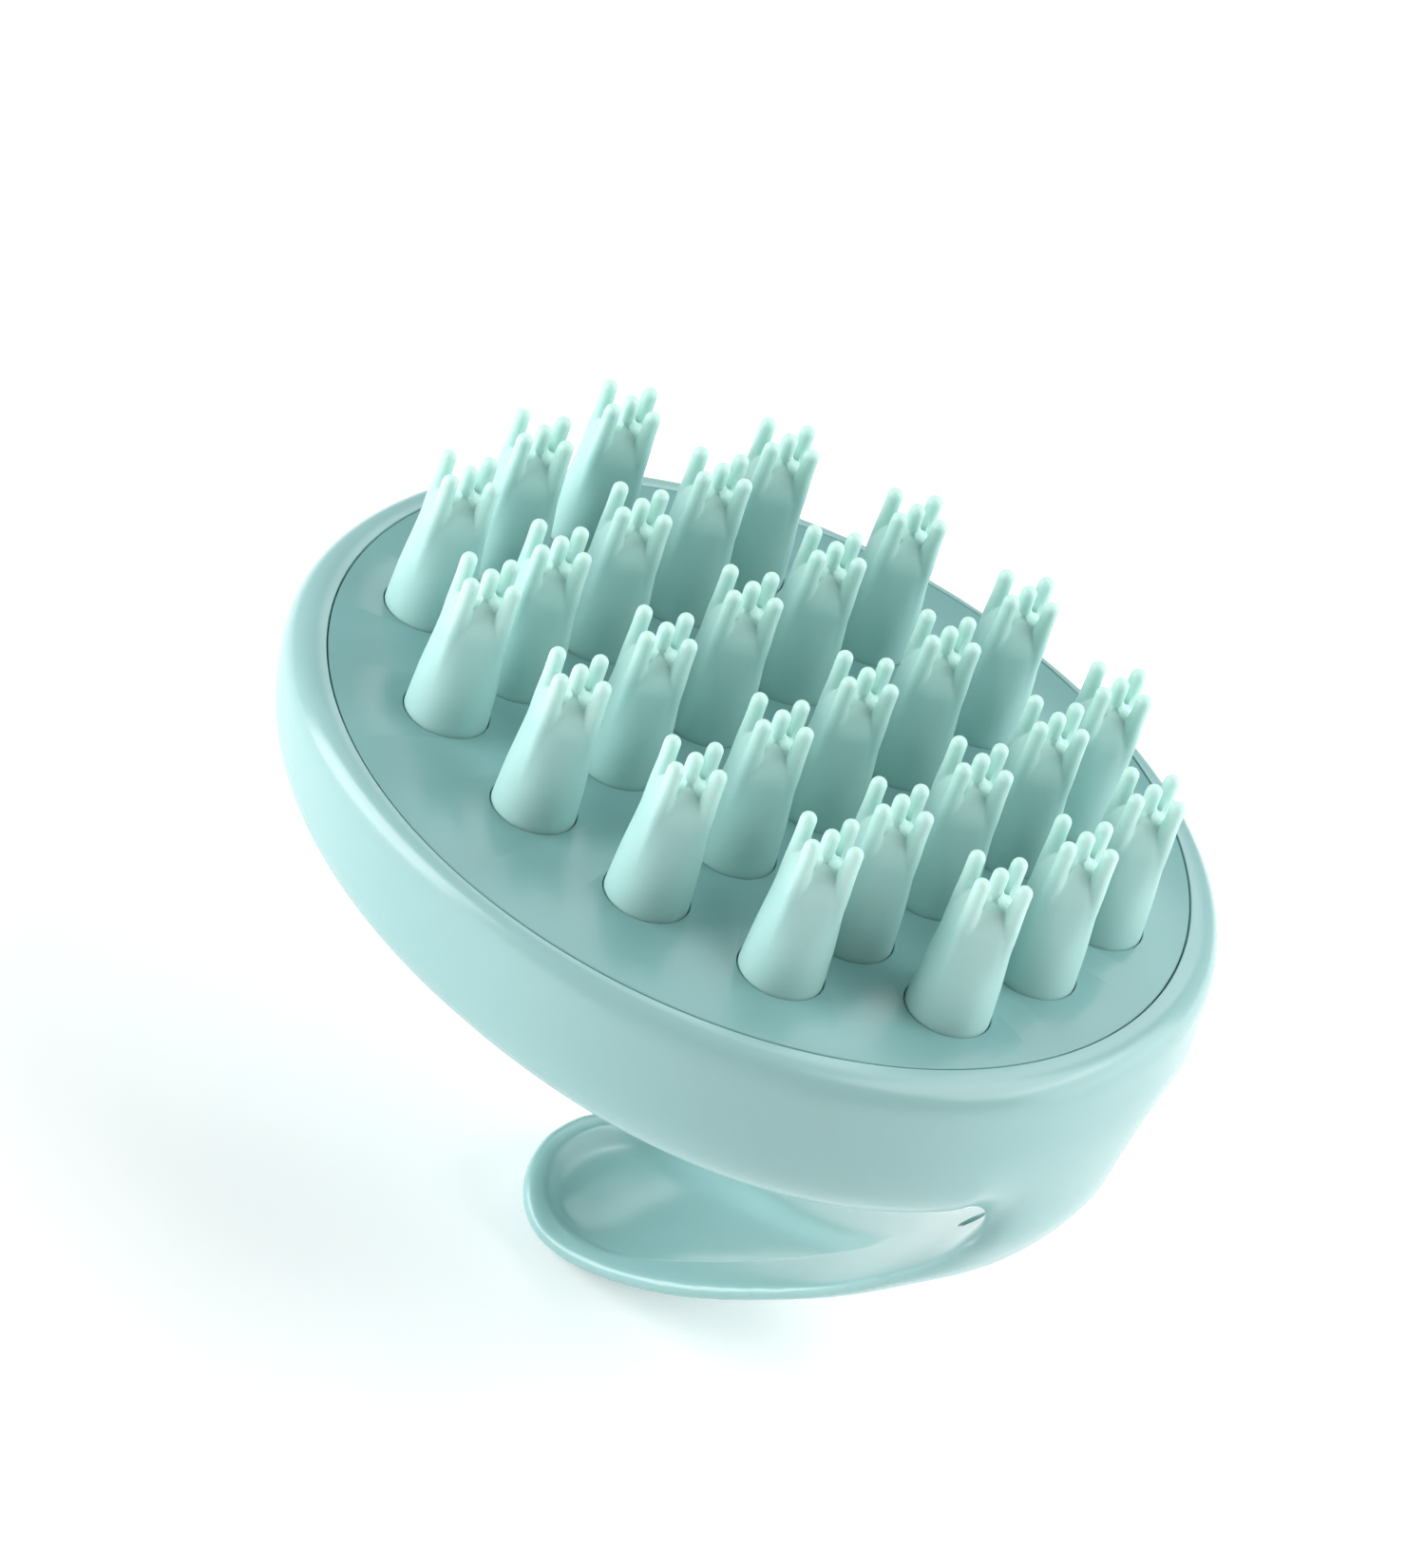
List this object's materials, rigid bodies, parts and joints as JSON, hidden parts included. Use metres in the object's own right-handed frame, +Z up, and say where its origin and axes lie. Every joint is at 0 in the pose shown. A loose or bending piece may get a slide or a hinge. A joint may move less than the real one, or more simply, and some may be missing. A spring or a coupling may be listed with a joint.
{
  "type": "scalp massager brush",
  "caption": "Palm-held oval scalp massager: shallow bowl with a dished hook handle under it, flush face plate and clusters of soft round-tipped silicone bristles.",
  "frame": {"origin": "centre of the bounding box, at the flat of the handle that the brush stands on", "axes": "+Z up, the way the bristles point; +X along the long axis of the oval, to the end where the handle joins the bowl; y = 0 is the mirror plane"},
  "size_m": [0.095, 0.0828, 0.0718],
  "materials": {
    "shell_abs": "polished, pale aqua",
    "plate_abs": "satin, pale aqua",
    "bristle_silicone": "matte, slightly translucent",
    "retainer_abs": "matte",
    "screw_steel": "plain"
  },
  "bodies": {
    "root": {"shell": "shell_abs", "face_plate": "plate_abs", "bristle_01": "bristle_silicone", "bristle_02": "bristle_silicone", "bristle_03": "bristle_silicone", "bristle_04": "bristle_silicone", "bristle_05": "bristle_silicone", "bristle_06": "bristle_silicone", "bristle_07": "bristle_silicone", "bristle_08": "bristle_silicone", "bristle_09": "bristle_silicone", "bristle_10": "bristle_silicone", "bristle_11": "bristle_silicone", "bristle_12": "bristle_silicone", "bristle_13": "bristle_silicone", "bristle_14": "bristle_silicone", "bristle_15": "bristle_silicone", "bristle_16": "bristle_silicone", "bristle_17": "bristle_silicone", "bristle_18": "bristle_silicone", "bristle_19": "bristle_silicone", "bristle_20": "bristle_silicone", "bristle_21": "bristle_silicone", "bristle_22": "bristle_silicone", "bristle_23": "bristle_silicone", "bristle_24": "bristle_silicone", "bristle_25": "bristle_silicone", "bristle_26": "bristle_silicone", "bristle_retainer": "retainer_abs", "retainer_screw_1": "screw_steel", "retainer_screw_2": "screw_steel", "retainer_screw_3": "screw_steel", "retainer_screw_4": "screw_steel", "retainer_screw_5": "screw_steel", "retainer_screw_6": "screw_steel"}
  },
  "joints": []
}
